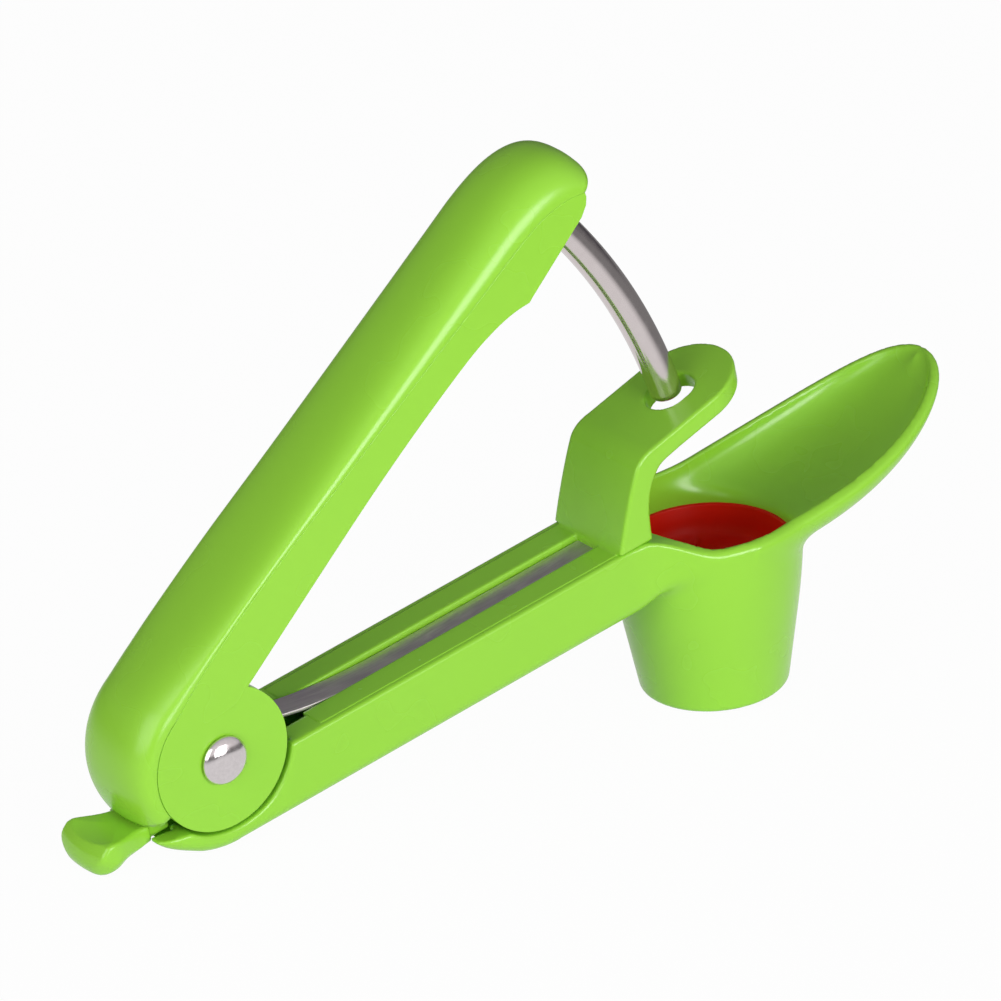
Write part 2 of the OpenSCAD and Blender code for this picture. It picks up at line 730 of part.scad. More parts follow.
// A fat rounded tail, waisted towards the hub, with its top hollowed for the thumb
module tab() {
    half = tab_w / 2;
    waist = tab_waist / 2;
    x = tab_rear_x;
    front = x + tab_len;
    plan = [[x - 0.2, half - 2.4], [x + 1.2, half - 0.3], [x + 2.6, half], [x + 4, half - 0.5],
        [x + 6, half - 1.7], [x + 8, waist], [front, waist]];
    intersection() {
        across(-half - 1, half + 1) polygon([[x + 2.2, tab_top], [x + 1, tab_top - 1.2],
            [x, tab_top - 3.6], [x + 0.2, tab_top - 5.2], [x + 1.2, tab_top - 6.3], tab_low,
            [x + 5.5, tab_low[1] + 0.6], [x + 8, tab_top - 5.3], [front, tab_top - 4.9],
            [front, tab_top - 1.1], [x + 8, tab_top - 1.2], [x + 5, tab_top - 0.9]]);
        translate([0, 0, -30]) linear_extrude(height = 30) polygon(concat(plan,
            [for (i = [len(plan) - 1:-1:0]) [plan[i][0], -plan[i][1]]]));
        translate([x - 1, 0, 0]) rotate([90, 0, 90]) linear_extrude(height = tab_len + 2)
            polygon([[-half - 1, 0], [-half - 1, tab_top - 4.2], [-half + 1.2, tab_top - 5.4],
                [-2.5, tab_low[1]], [2.5, tab_low[1]], [half - 1.2, tab_top - 5.4],
                [half + 1, tab_top - 4.2], [half + 1, 0]]);
    }
}

module bracket_screw() {
    color(steel) place() translate([foot_x + foot_len / 2, 0, arm_top - screw_grip]) {
        translate([0, 0, -screw_head_t]) cylinder(h = screw_head_t, r = screw_head_r, $fn = 48);
        cylinder(h = screw_grip + screw_bite, r = screw_r, $fn = 48);
    }
}

base_arm();
guide_bracket();
cup_insert();
handle_frame();
handle_cover();
plunger_rod();
rod_pin();
hinge_rivet();
rivet_cap();
leaf_spring();
lock_slide();
bracket_screw();
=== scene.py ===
"""Dressed model of a hand-squeezed olive and cherry pitter.

Shapes are worked out in the arm's own datum, in millimetres: the hinge pin's axis is Y through
the origin, X runs along the arm towards the cup and Z is square to the arm's top face. The
handle's datum is the arm's, turned up about the pin by the handle's open angle.
"""
import json
import math

import bmesh
import bpy
import numpy as np
from mathutils import Matrix


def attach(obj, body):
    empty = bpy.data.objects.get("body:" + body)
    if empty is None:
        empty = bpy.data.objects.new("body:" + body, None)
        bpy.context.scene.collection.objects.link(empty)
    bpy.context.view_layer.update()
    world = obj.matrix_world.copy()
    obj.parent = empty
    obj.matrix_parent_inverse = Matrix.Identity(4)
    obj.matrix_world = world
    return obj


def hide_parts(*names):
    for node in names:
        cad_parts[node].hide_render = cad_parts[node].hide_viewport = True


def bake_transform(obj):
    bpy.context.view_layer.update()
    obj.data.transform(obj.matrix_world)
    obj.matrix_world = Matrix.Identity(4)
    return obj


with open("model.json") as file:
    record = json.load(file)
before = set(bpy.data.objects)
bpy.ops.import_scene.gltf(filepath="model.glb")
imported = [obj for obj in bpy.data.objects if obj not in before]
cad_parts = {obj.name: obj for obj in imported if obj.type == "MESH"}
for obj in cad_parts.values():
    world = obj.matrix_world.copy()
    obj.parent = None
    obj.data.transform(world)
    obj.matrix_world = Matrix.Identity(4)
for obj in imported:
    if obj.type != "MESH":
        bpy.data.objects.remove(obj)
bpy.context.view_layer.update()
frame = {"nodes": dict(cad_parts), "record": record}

# ---------------------------------------------------------------- datum

JOINTS = {joint["name"]: joint for joint in frame["record"]["behaviour"]["joints"]}
PIN = np.array(JOINTS["handle_hinge"]["pos_m"])
ARM_X = np.array(JOINTS["lock_slide_joint"]["axis"])
TILT = math.atan2(ARM_X[2], ARM_X[0])
OPEN_DEGREES = 31.6
OPEN_ANGLE = math.radians(OPEN_DEGREES)


def turned_up(points, angle):
    """Points turned about Y, so that X rises by the angle."""
    x, y, z = np.moveaxis(np.asarray(points, float), -1, 0)
    c, s = math.cos(angle), math.sin(angle)
    return np.stack([x * c - z * s, y, x * s + z * c], -1)


def to_row(points):
    """Arm datum in millimetres to the shared frame in metres: turned up by the tilt."""
    return turned_up(points, TILT) / 1000 + PIN


def from_handle(points):
    """Handle datum to arm datum: turned up by the open angle about the pin."""
    return turned_up(points, OPEN_ANGLE)


# ---------------------------------------------------------------- sizes in millimetres

# The arm: half its width, its top and lower faces, and the edge of its side.
ARM_HALF = 10.5
ARM_TOP = -4.7
ARM_LOW = -18.7
EDGE_R = 2.6
# The hub: the ears' radius, and the shell behind them.
EAR_R = 14.2
CRADLE_IN = 15.0
CRADLE_OUT = 18.7
# The cup: its axis from the pin, its lean, its foot below the pin, and its cone.
REACH = 120.0
CUP_LEAN = math.radians(8.0)
CUP_DEPTH = 48.2
FOOT_R = 14.4
TAPER = math.tan(math.radians(9.7))
MOUTH_R = 19.1
WALL = 2.0
SHELF_H = 18.0
# The spoon: where its front part starts, how far that reaches, half its width, its section's
# power, and the place and power of its rise.
BOWL_X = 132
BOWL_LONG = 43.5
BOWL_HALF = 18.95
BOWL_POWER = 2.2
RISE_X = 118
RISE_POWER = 2.87
# The bracket's plate and hook.
PLATE_LOW = ARM_TOP - 2.2
HOOK_ANGLE = math.radians(12)
HOOK_SLOPE = math.tan(HOOK_ANGLE)
HOOK_HALF = 10.5
HOOK_MID = 119.3
# The rod: its section, the arc of its line about the pin, and its free end with its dome.
ROD_R = 3.15
ROD_ARC = 116.7
ROD_TIP = math.radians(7.6)
ROD_DOME = 0.011
# The rivet's heads.
HEAD_R = 4.8
HEAD_H = 1.95

# ---------------------------------------------------------------- finishes

# A noise output seldom leaves this range.
NOISE_LOW, NOISE_HIGH = 0.2, 0.8


def node_tree(name):
    """A new material, with its nodes, its links and its Principled shader."""
    material = bpy.data.materials.new(name)
    material.use_nodes = True
    nodes, links = material.node_tree.nodes, material.node_tree.links
    return material, nodes, links, nodes["Principled BSDF"]


def noise(nodes, links, scale, detail, rough=0.5, squeeze=(1, 1, 1)):
    """Noise on Object coordinates, squeezed along the axes; scale is in cycles a metre."""
    coords = nodes.new("ShaderNodeTexCoord")
    mapping = nodes.new("ShaderNodeMapping")
    mapping.inputs["Scale"].default_value = squeeze
    texture = nodes.new("ShaderNodeTexNoise")
    texture.inputs["Scale"].default_value = scale
    texture.inputs["Detail"].default_value = detail
    texture.inputs["Roughness"].default_value = rough
    links.new(coords.outputs["Object"], mapping.inputs["Vector"])
    links.new(mapping.outputs["Vector"], texture.inputs["Vector"])
    return texture.outputs["Fac"]


def ramp(nodes, links, source, low, high):
    """Colour ramp between two colours, driven by a noise output."""
    node = nodes.new("ShaderNodeValToRGB")
    node.color_ramp.interpolation = "EASE"
    stops = (NOISE_LOW, low), (NOISE_HIGH, high)
    for mark, (place, colour) in zip(node.color_ramp.elements, stops):
        mark.position, mark.color = place, (*colour, 1)
    links.new(source, node.inputs["Fac"])
    return node.outputs["Color"]


def map_range(nodes, links, source, given, wanted):
    """A node that maps one range of a value on to another."""
    node = nodes.new("ShaderNodeMapRange")
    for kind, (low, high) in (("From", given), ("To", wanted)):
        node.inputs[kind + " Min"].default_value = low
        node.inputs[kind + " Max"].default_value = high
    links.new(source, node.inputs["Value"])
    return node


def spread(nodes, links, source, low, high):
    """Maps a noise output smoothly on to low to high."""
    node = map_range(nodes, links, source, (NOISE_LOW, NOISE_HIGH), (low, high))
    node.interpolation_type = "SMOOTHSTEP"
    return node.outputs["Result"]


def relief(nodes, links, shader, source, strength):
    """Bump of a few thousandths of a millimetre from a noise output."""
    bump = nodes.new("ShaderNodeBump")
    bump.inputs["Distance"].default_value = 0.000004
    bump.inputs["Strength"].default_value = strength
    links.new(source, bump.inputs["Height"])
    links.new(bump.outputs["Normal"], shader.inputs["Normal"])


def moulded_plastic(name, shade, deep, gloss=0.26, coat=0.05):
    """Glossy moulded plastic: faint flow clouds in the colour and a faintly uneven polish."""
    material, nodes, links, shader = node_tree(name)
    clouds = noise(nodes, links, 26, 1)
    links.new(ramp(nodes, links, clouds, deep, shade), shader.inputs["Base Color"])
    polish = noise(nodes, links, 60, 2)
    links.new(spread(nodes, links, polish, gloss * 0.9, gloss * 1.12), shader.inputs["Roughness"])
    shader.inputs["IOR"].default_value = 1.5
    shader.inputs["Coat Weight"].default_value = coat
    shader.inputs["Coat Roughness"].default_value = 0.1
    return material


def bright_steel(name, light, dark, gloss, grain, squeeze, depth):
    """Steel with a fine grain, drawn out by squeeze, in the shade, the polish and the relief."""
    material, nodes, links, shader = node_tree(name)
    fibres = noise(nodes, links, grain, 5, 0.6, squeeze)
    links.new(ramp(nodes, links, fibres, dark, light), shader.inputs["Base Color"])
    links.new(spread(nodes, links, fibres, gloss * 0.7, gloss * 1.4), shader.inputs["Roughness"])
    if depth:
        relief(nodes, links, shader, fibres, depth)
    shader.inputs["Metallic"].default_value = 1.0
    return material


LIME = moulded_plastic("lime_plastic", (0.312, 0.690, 0.043), (0.302, 0.676, 0.040))
# A darker copy of the lime plastic for the core and bars inside the handle: the darker colour is
# painted shade.
LIME_SHADED_INNER = moulded_plastic("lime_plastic_shaded_inner", (0.30, 0.68, 0.034), (0.28, 0.65, 0.030), 0.35)
RED = moulded_plastic("red_rubber", (0.80, 0.012, 0.003), (0.72, 0.009, 0.002), 0.42, 0.0)
RED.node_tree.nodes["Principled BSDF"].inputs["Specular IOR Level"].default_value = 0.14
ROD_STEEL = bright_steel("rod_steel", (0.76, 0.69, 0.69), (0.71, 0.64, 0.64), 0.15, 500,
                         (1, 1, 1), 0)
HEAD_STEEL = bright_steel("head_steel", (0.78, 0.73, 0.74), (0.70, 0.65, 0.66), 0.15, 1500,
                          (1, 1, 1), 0.15)
STRIP_STEEL = bright_steel("strip_steel", (0.74, 0.68, 0.70), (0.56, 0.51, 0.53), 0.42, 2600,
                           (0.03, 1, 0.3), 0.4)

# ---------------------------------------------------------------- meshes


def signed_volume(points, faces):
    """Volume inside a closed mesh of quads or triangles; negative if its faces point inwards."""
    total = 0.0
    for k in range(1, faces.shape[1] - 1):
        a, b, c = points[faces[:, 0]], points[faces[:, k]], points[faces[:, k + 1]]
        total += np.einsum("ij,ij->i", a, np.cross(b, c)).sum()
    return total


def new_object(name, mesh):
    """An object at the origin, in the scene."""
    thing = bpy.data.objects.new(name, mesh)
    bpy.context.scene.collection.objects.link(thing)
    return thing


def rework(mesh, change):
    """Runs one change on a mesh's bmesh."""
    work = bmesh.new()
    work.from_mesh(mesh)
    change(work)
    work.to_mesh(mesh)
    work.free()


def dress(name, mesh, finish, stands_for):
    """An object from a mesh, smooth shaded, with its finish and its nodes."""
    mesh.shade_smooth()
    mesh.materials.append(finish)
    piece = new_object(name, mesh)
    if stands_for:
        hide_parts(*stands_for)
    return piece


def make_piece(name, points, faces, finish, body, stands_for, weld=False):
    """A closed mesh from arrays, in the arm datum, with its faces outwards."""
    if signed_volume(points - points.mean(0), faces) < 0:
        faces = faces[:, ::-1]
    mesh = bpy.data.meshes.new(name)
    mesh.vertices.add(len(points))
    mesh.vertices.foreach_set("co", to_row(points).astype(np.float32).ravel())
    mesh.loops.add(faces.size)
    mesh.loops.foreach_set("vertex_index", np.ascontiguousarray(faces, np.int32).ravel())
    mesh.polygons.add(len(faces))
    starts = np.arange(0, faces.size, faces.shape[1], dtype=np.int32)
    mesh.polygons.foreach_set("loop_start", starts)
    mesh.update(calc_edges=True)
    if weld:
        rework(mesh, lambda work: bmesh.ops.remove_doubles(work, verts=work.verts, dist=2e-6))
    mesh.validate()
    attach(dress(name, mesh, finish, stands_for), body)


def make_mixed(name, points, faces, finish, stands_for):
    """A closed piece from faces of several sizes, in the arm datum, turned outwards."""
    mesh = bpy.data.meshes.new(name)
    mesh.from_pydata(to_row(points).tolist(), [], faces)
    rework(mesh, lambda work: bmesh.ops.recalc_face_normals(work, faces=work.faces))
    mesh.validate()
    return dress(name, mesh, finish, stands_for)


def grid_faces(rows, columns, wrap_rows=False, wrap_columns=False):
    """Quads of a grid of points, rows by columns, either way wrapped round or not."""
    r = np.arange(rows if wrap_rows else rows - 1)
    c = np.arange(columns if wrap_columns else columns - 1)
    i, j = np.meshgrid(r, c, indexing="ij")
    k, m = (i + 1) % rows, (j + 1) % columns
    quads = np.stack([i * columns + j, k * columns + j, k * columns + m, i * columns + m], -1)
    return quads.reshape(-1, 4)


def flow_line(points, count):
    """Smooth line through points: a Catmull-Rom curve, walked at an even pace."""
    p = np.asarray(points, float)
    p = np.vstack([2 * p[0] - p[1], p, 2 * p[-1] - p[-2]])
    t = np.linspace(0, len(p) - 3 - 1e-9, 40 * len(p))
    i = t.astype(int)
    f = (t - i)[:, None]
    a, b, c, d = p[i], p[i + 1], p[i + 2], p[i + 3]
    line = b + 0.5 * f * (c - a + f * (2 * a - 5 * b + 4 * c - d + f * (3 * (b - c) + d - a)))
    return even(line, count)


def even(line, count):
    """The line's points moved along it so that they are evenly spaced."""
    gaps = np.linalg.norm(np.diff(line, axis=0), axis=1)
    along = np.concatenate([[0], np.cumsum(gaps)])
    want = np.linspace(0, along[-1], count)
    return np.stack([np.interp(want, along, line[:, k]) for k in range(line.shape[1])], -1)


def arc(radius, start, end, count):
    """Points on a circle about the pin, angles in degrees."""
    a = np.radians(np.linspace(start, end, count))
    return np.stack([radius * np.cos(a), radius * np.sin(a)], -1)


def signed_power(value, power):
    """A power that keeps the sign, for superellipses."""
    return np.sign(value) * np.abs(value) ** power


def smooth_step(t):
    """0 below 0, 1 above 1 and an S curve between."""
    t = np.clip(t, 0, 1)
    return t * t * (3 - 2 * t)


# ---------------------------------------------------------------- fused mouldings
#
# A moulding with fillets is given as a field: about the distance to its skin, negative inside.


def soft_min(a, b, k):
    """The lesser of two fields, with a fillet about k wide where they are alike."""
    h = np.clip(0.5 + 0.5 * (b - a) / k, 0, 1)
    return b * (1 - h) + a * h - k * h * (1 - h)


def round_max(a, b, r):
    """Both of two fields at once, with a rounded edge of radius r where they meet."""
    p, q = a + r, b + r
    return np.minimum(np.maximum(p, q), 0) + np.hypot(np.maximum(p, 0), np.maximum(q, 0)) - r


def outline_field(x, z, outline):
    """Distance to a closed outline in the XZ plane, negative inside, by its straight segments."""
    nearest = np.full(np.shape(x), 1e9)
    crossed = np.zeros(np.shape(x), bool)
    for (ax, az), (bx, bz) in zip(outline, np.roll(outline, -1, 0)):
        ex, ez = bx - ax, bz - az
        t = np.clip(((x - ax) * ex + (z - az) * ez) / (ex * ex + ez * ez), 0, 1)
        nearest = np.minimum(nearest, (x - ax - t * ex) ** 2 + (z - az - t * ez) ** 2)
        if ez != 0:
            crossed ^= ((az > z) != (bz > z)) & (x < ax + (z - az) * ex / ez)
    return np.where(crossed, -1, 1) * np.sqrt(nearest)


def net_mesh(field, low, high, step):
    """Closed quads on a field's skin. Each cell of a grid that the skin passes gets one point,
    the mean of where the skin cuts the cell's edges, and the point is then moved on to the skin
    along the field's slope. Each cut edge gets the quad of the four cells round it."""
    axes = [np.arange(a, b + step, step) for a, b in zip(low, high)]
    value = field(*np.meshgrid(*axes, indexing="ij"))
    cells = tuple(n - 1 for n in value.shape)
    total, count = np.zeros((3, *cells)), np.zeros(cells, np.int16)
    cuts = []
    for axis in range(3):
        p, q = (axis + 1) % 3, (axis + 2) % 3
        below = np.take(value, range(cells[axis]), axis)
        above = np.take(value, range(1, cells[axis] + 1), axis)
        cut = (below < 0) != (above < 0)
        share = np.where(cut, below / np.where(cut, below - above, 1), 0)
        cuts.append((cut, below < 0))
        for dp in (0, 1):
            for dq in (0, 1):
                part = [slice(None)] * 3
                part[p] = slice(dp, dp + cells[p])
                part[q] = slice(dq, dq + cells[q])
                here = cut[tuple(part)]
                count += here
                total[axis] += share[tuple(part)]
                total[p] += here * dp
                total[q] += here * dq
    used = count > 0
    index = np.full(cells, -1)
    index[used] = np.arange(used.sum())
    places = np.argwhere(used)
    points = np.asarray(low) + (places + (total[:, used] / count[used]).T) * step
    quads = []
    for axis in range(3):
        p, q = (axis + 1) % 3, (axis + 2) % 3
        cut, rising = cuts[axis]
        inner = [slice(None)] * 3
        inner[p] = inner[q] = slice(1, -1)
        edges = np.argwhere(cut[tuple(inner)])
        outward = rising[tuple(inner)][tuple(edges.T)]
        edges[:, p] += 1
        edges[:, q] += 1
        corners = []
        for dp, dq in ((1, 1), (0, 1), (0, 0), (1, 0)):
            cell = edges.copy()
            cell[:, p] -= dp
            cell[:, q] -= dq
            corners.append(index[tuple(cell.T)])
        face = np.stack(corners, -1)
        quads.append(np.where(outward[:, None], face, face[:, ::-1]))
    h = 0.02
    for _ in range(4):
        x, y, z = points.T
        slope = np.stack([field(x + h, y, z) - field(x - h, y, z),
                          field(x, y + h, z) - field(x, y - h, z),
                          field(x, y, z + h) - field(x, y, z - h)], -1) / (2 * h)
        move = field(x, y, z)[:, None] * slope / np.maximum((slope ** 2).sum(1), 0.2)[:, None]
        reach = np.linalg.norm(move, axis=1)[:, None]
        points = points - 0.8 * move * np.minimum(1, 0.35 * step / np.maximum(reach, 1e-9))
    return points, np.vstack(quads)


# ---------------------------------------------------------------- arm, cup and spoon


def spoon_rise(x):
    """The power curve that lifts the spoon's rim and keel towards its tip."""
    return (np.clip(x - RISE_X, 0, None) / 34) ** RISE_POWER


def spoon_ahead(x):
    """Share of the way from the spoon's middle to just short of its tip."""
    return np.clip((x - BOWL_X) / BOWL_LONG, 0, 0.9995)


def rim_height(x):
    """Height of the moulding's top: level with the arm's face, down two S curves beside the
    bracket to the cup's rim, then up a power curve to the spoon's tip."""
    dip = ARM_TOP - 6.4 * smooth_step((x - 97) / 13.5) - 1.7 * smooth_step((x - 106) / 20)
    return dip + 1.93 * spoon_rise(x)


def rim_half(x):
    """Half width of the spoon in plan: a superellipse quarter ahead of the cup's middle, and
    slightly drawn in behind it, where the arm's flared sides carry on."""
    behind = np.clip((BOWL_X - x) / 14, 0, 1.5)
    plan = (1 - spoon_ahead(x) ** BOWL_POWER) ** (1 / BOWL_POWER)
    return BOWL_HALF * plan - 0.8 * behind ** 2


def bowl_reach(x, y, z):
    """Superellipse test of the spoon's outer skin, 0 on the skin, and the least distance from
    it below and behind. Each section across the arm hangs from the rim, as wide as the rim. The
    keel is an ellipse along the spoon that flattens where it runs back into the arm."""
    half = rim_half(x)
    keel = -13.0 + 2.1 * spoon_rise(x) - 8.7 * np.sqrt(1 - spoon_ahead(x) ** 2)
    keel = keel + 5.2 * smooth_step((129 - x) / 18)
    top = rim_height(x) + 0.6
    deep = np.maximum(top - keel, 0.2)
    below = np.clip(top - z, 0, None) / deep
    size = (below ** 2.3 + (np.abs(y) / half) ** 2.3) ** (1 / 2.3)
    beyond = np.clip(x - 175.3, 0, None)
    value = (size - 1) * np.minimum(half, deep * 1.6) + beyond
    return value, np.maximum(keel - z, RISE_X - x)


def bowl_field(x, y, z):
    """The superellipse test divided by its own slope, so that it measures millimetres, and
    never less than the distance below the keel."""
    h = 0.05
    value, outside = bowl_reach(x, y, z)
    steps = [bowl_reach(x + a, y + b, z + c)[0] - bowl_reach(x - a, y - b, z - c)[0]
             for a, b, c in ((h, 0, 0), (0, h, 0), (0, 0, h))]
    slope = np.sqrt(sum(step ** 2 for step in steps)) / (2 * h)
    return np.maximum(value / np.clip(slope, 0.35, None), outside)


def flank_half(x):
    """Half width of the arm in plan: even along the arm, then out beside the cup in an S."""
    return ARM_HALF + 8.3 * smooth_step((x - 93) / 30)


def flank_low(x):
    """Lower edge of the arm's side: even, then up in an S towards the rim's lip."""
    return ARM_LOW + 3.0 * smooth_step((x - 93) / 12) + 1.8 * smooth_step((x - 108) / 14)


def cup_frame(x, z):
    """Across and along the cup's axis, from the middle of its foot."""
    c, s = math.cos(CUP_LEAN), math.sin(CUP_LEAN)
    return (x - REACH) * c - z * s, (x - REACH) * s + z * c + CUP_DEPTH


def cradle_field(x, far, z, pin):
    """Shell behind the hub: a ring section whose outer radius grows towards a pointed beak,
    which is drawn in at both sides. The sloped cut is its upper edge."""
    turn = np.degrees(np.arctan2(-z, -x))
    outer = CRADLE_OUT + 0.8 * smooth_step((60 - turn) / 28)
    far = far + 0.17 * np.clip(-x - 8, 0, None)
    edge = EDGE_R - 0.9 * smooth_step((-x - 8) / 9)
    field = round_max(far - ARM_HALF, (pin - outer) * 0.97, edge)
    field = round_max(field, CRADLE_IN - pin, 0.4)
    field = round_max(field, 0.109 * (x + 10.3) + 0.994 * (z + 11.4), 0.3)
    return np.maximum(field, x - 0.3)


def arm_field(x, y, z):
    """Arm, cradle, cup and spoon, then less the hollows of the cup and spoon, the bed and channel
    under the bracket's plate and the slot behind it, then the hub's tongue, less the lock's way."""
    far = np.abs(y)
    pin = np.hypot(x, z)
    u, w = cup_frame(x, z)
    round_cup = np.hypot(u, y)
    skin_r = soft_min(FOOT_R + w * TAPER, MOUTH_R, 2.0)
    cup = (round_cup - skin_r) * 0.985
    bowl = bowl_field(x, y, z)

    beam = round_max((far - flank_half(x)) * 0.93, (flank_low(x) - z) * 0.96, EDGE_R)
    beam = np.maximum(np.maximum(beam, x - 126), -x)
    beam = round_max(beam, CRADLE_IN + 0.45 * smooth_step(x / 9) - pin, 0.5)
    vessel = soft_min(round_max(cup, -w, 0.9), bowl, 3.0)
    body = soft_min(np.minimum(beam, cradle_field(x, far, z, pin)), vessel,
                    3.2 - 2.4 * smooth_step((x - 104) / 12))
    hollow = soft_min(np.maximum(cup + WALL, SHELF_H - w), bowl + 2.3, 2.5)
    crest = 0.52 * np.clip(-body, 0, 2.3) * smooth_step((x - 99) / 8)
    top = z - rim_height(x) - crest
    top = top / np.sqrt(1.2 + np.clip((x - RISE_X) / 60, 0, 1) ** 2)
    lip = 0.45 + 0.35 * smooth_step((x - 100) / 10)
    body = round_max(body, top, lip)
    body = round_max(body, -hollow, lip)
    body = np.maximum(body, -np.maximum(round_cup - 11.5, -w - 1))
    below = np.maximum(cup + WALL, w - SHELF_H + WALL)
    body = round_max(body, -np.maximum(below, -w - 5), 0.4)

    plate_bed = np.maximum(np.maximum(far - 7.8, x - 99), np.maximum(PLATE_LOW - z, 22.6 - x))
    body = np.maximum(body, -plate_bed)
    channel = np.maximum(np.maximum(far - 7.4, x - 85), np.maximum(-13.5 - z, 13 - x))
    body = np.maximum(body, -np.maximum(channel, z + 6.6))
    ledge = round_max(4.3 - far, 15.4 - x, 1.8)
    slot = np.maximum(np.maximum(-ledge, x - 23.5), np.maximum(-9 - z, 10 - x))
    body = round_max(body, -np.maximum(slot, far - 8.3), 0.3)

    web = outline_field(x, z, np.array([[-1.6, -2], [-1.6, -16.5], [9.5, -15.2], [7.2, -10],
                                        [5.4, -3]]))
    tongue = round_max(soft_min(pin - 7.2, web, 1.0), far - 7.2, 0.4)
    body = np.minimum(body, tongue)
    lock_way = np.maximum(np.maximum(far - 4.2, x + 5.3), np.maximum(z + 6.8, -13.8 - z))
    tab_way = np.maximum(np.maximum(far - 5.6, x + 10.8), np.maximum(z + 4, -13.2 - z))
    body = round_max(body, -np.minimum(lock_way, tab_way), 0.3)
    return body


def make_arm():
    """The arm's moulding as one fused skin."""
    points, quads = net_mesh(arm_field, (-21.5, -20.6, -49.5), (177, 20.6, 1), 0.54)
    make_piece("arm_moulding", points, quads, LIME, "base", ["base_arm"])


# ---------------------------------------------------------------- bracket


def bezier(a, b, c, count):
    """Quadratic curve from a to c, pulled towards b."""
    t = np.linspace(0, 1, count)[:, None]
    return (1 - t) ** 2 * np.array(a) + 2 * t * (1 - t) * np.array(b) + t ** 2 * np.array(c)


HOOK_OUTLINE = np.vstack([
    [[99.5, -6.5], [91.3, -6.5]],
    flow_line([(91.9, -4.2), (93, -1.5), (95, 3), (97.2, 7.5), (98.5, 9.9)], 16),
    bezier((99.0, 10.8), (100.6, 13.1), (104.2, 12.75 + 3.9 * HOOK_SLOPE), 9),
    [[140, 12.75 + 39.7 * HOOK_SLOPE], [140, 8.75 + 39.7 * HOOK_SLOPE]],
    flow_line([(109.5, 10.72), (105.0, 9.45), (102.9, 7.5), (101.2, 4.6), (100.3, 1.4),
               (99.9, -1.4), (99.7, -4.3)], 24),
])


def bracket_field(x, y, z):
    """Slotted plate, upright and hook with its guide hole."""
    far = np.abs(y)
    side = outline_field(x, z, HOOK_OUTLINE)
    tip = np.where(x > HOOK_MID, np.hypot(x - HOOK_MID, y), far) - HOOK_HALF
    hook = round_max(side, tip, 0.55)
    skirt = np.maximum(9.4 - far, z - ARM_TOP - 0.12)
    hook = round_max(hook, -skirt, 0.15)
    across = (x - 116.3) * math.cos(HOOK_ANGLE) + (z - 15.8) * math.sin(HOOK_ANGLE)
    hole = np.hypot(np.maximum(np.abs(across) - 0.8, 0), y) - 4.4
    hook = round_max(hook, -hole, 0.5)
    plate = round_max(far - 9.3, z - ARM_TOP - 0.08, 0.08)
    plate = np.maximum(np.maximum(plate, PLATE_LOW - z), np.maximum(x - 99.4, 22.0 - x))
    slot = np.maximum(far - 3.3, x - 91.6)
    plate = round_max(plate, -slot, 0.35)
    return np.minimum(hook, plate)


def make_bracket():
    """The guide bracket as one fused skin."""
    points, quads = net_mesh(bracket_field, (13, -11, -8), (131, 11, 20.5), 0.4)
    make_piece("bracket_moulding", points, quads, LIME, "base", ["guide_bracket"])


# ---------------------------------------------------------------- lock tab

TAB_OUTLINE = np.vstack([
    flow_line([(-26.3, -7.2), (-27.6, -8.3), (-28.4, -9.8), (-28.6, -11.3), (-28.1, -12.8),
               (-27.0, -13.7), (-25.5, -13.95), (-23.4, -13.7), (-21, -13.0), (-18.5, -12.5),
               (-15.2, -12.0)], 30),
    [[-10.6, -11.9], [-10.6, -10.1], [-12.7, -10.1], [-14.5, -8.9]],
    flow_line([(-16.2, -8.5), (-18.6, -8.2), (-20.8, -7.9), (-23.0, -7.5), (-25.0, -7.1),
               (-26.3, -7.2)], 16)[:-1],
])


def lock_field(x, y, z):
    """Thumb tab, waisted at the hub and flared to a fat rounded tail with a hollowed top, and
    the neck that runs under the hub."""
    far = np.abs(y)
    tail = smooth_step((-16.5 - x) / 8)
    wide = 5.1 + 2.1 * tail - 0.9 * smooth_step((x + 15.6) / 0.8)
    curl = x - 1.0 * (far / 7) ** 2 * tail
    side = outline_field(curl, z, TAB_OUTLINE)
    dish = z + 7.45 - 0.014 * far ** 2 + 0.10 * (x + 26)
    side = np.maximum(side, np.where(x < -16, dish, -1))
    edge = 0.7 + 2.9 * smooth_step((-8.6 - z) / 3.5) * smooth_step((-17 - x) / 6)
    return round_max(side, (far - wide) * 0.95, edge)


def make_lock():
    """The lock's tab and neck as one fused skin."""
    points, quads = net_mesh(lock_field, (-30.0, -8.5, -15.4), (-9.5, 8.5, -5.5), 0.28)
    make_piece("lock_tab", points, quads, LIME, "lock", ["lock_slide"])


# ---------------------------------------------------------------- handle

COVER_END = 203 - OPEN_DEGREES
SEAM = flow_line([(0, 14.4), (12.8, 15.9), (30, 16.2), (50, 15.3), (76, 14.2), (95, 13.3),
                  (104, 13.0), (112.4, 12.3), (118.4, 10.4), (122.6, 7.6)], 150)
BELLY = flow_line([(13.2, 5.2), (27.6, 6.0), (45, 6.9), (58, 7.4), (71, 7.5), (85, 7.1),
                   (92, 6.2), (97, 4.8), (100.5, 3.1)], 60)
NOSE_MID = (108.0, 8.6)
NOSE_LONG = 19.2
REAR_R = 19.1
BACK_POWER = 2.35
PANEL = 2.9


def back_height(u):
    """Crown of the handle's back above the pin: lowest near the hub, with S curves."""
    low = 0.95 * (1 - smooth_step((u - 30) / 110)) - 0.45 * (1 - smooth_step(u / 24))
    return 19.6 - low


def side_section(count, power):
    """Quarter of a superellipse twice over: across from -1 to 1, and up from 0 to 1 and back."""
    turn = np.linspace(0, np.pi, count)
    ease = turn - 0.35 * np.sin(2 * turn) / 2
    return (-signed_power(np.cos(ease), 2 / power), np.abs(np.sin(ease)) ** (2 / power))


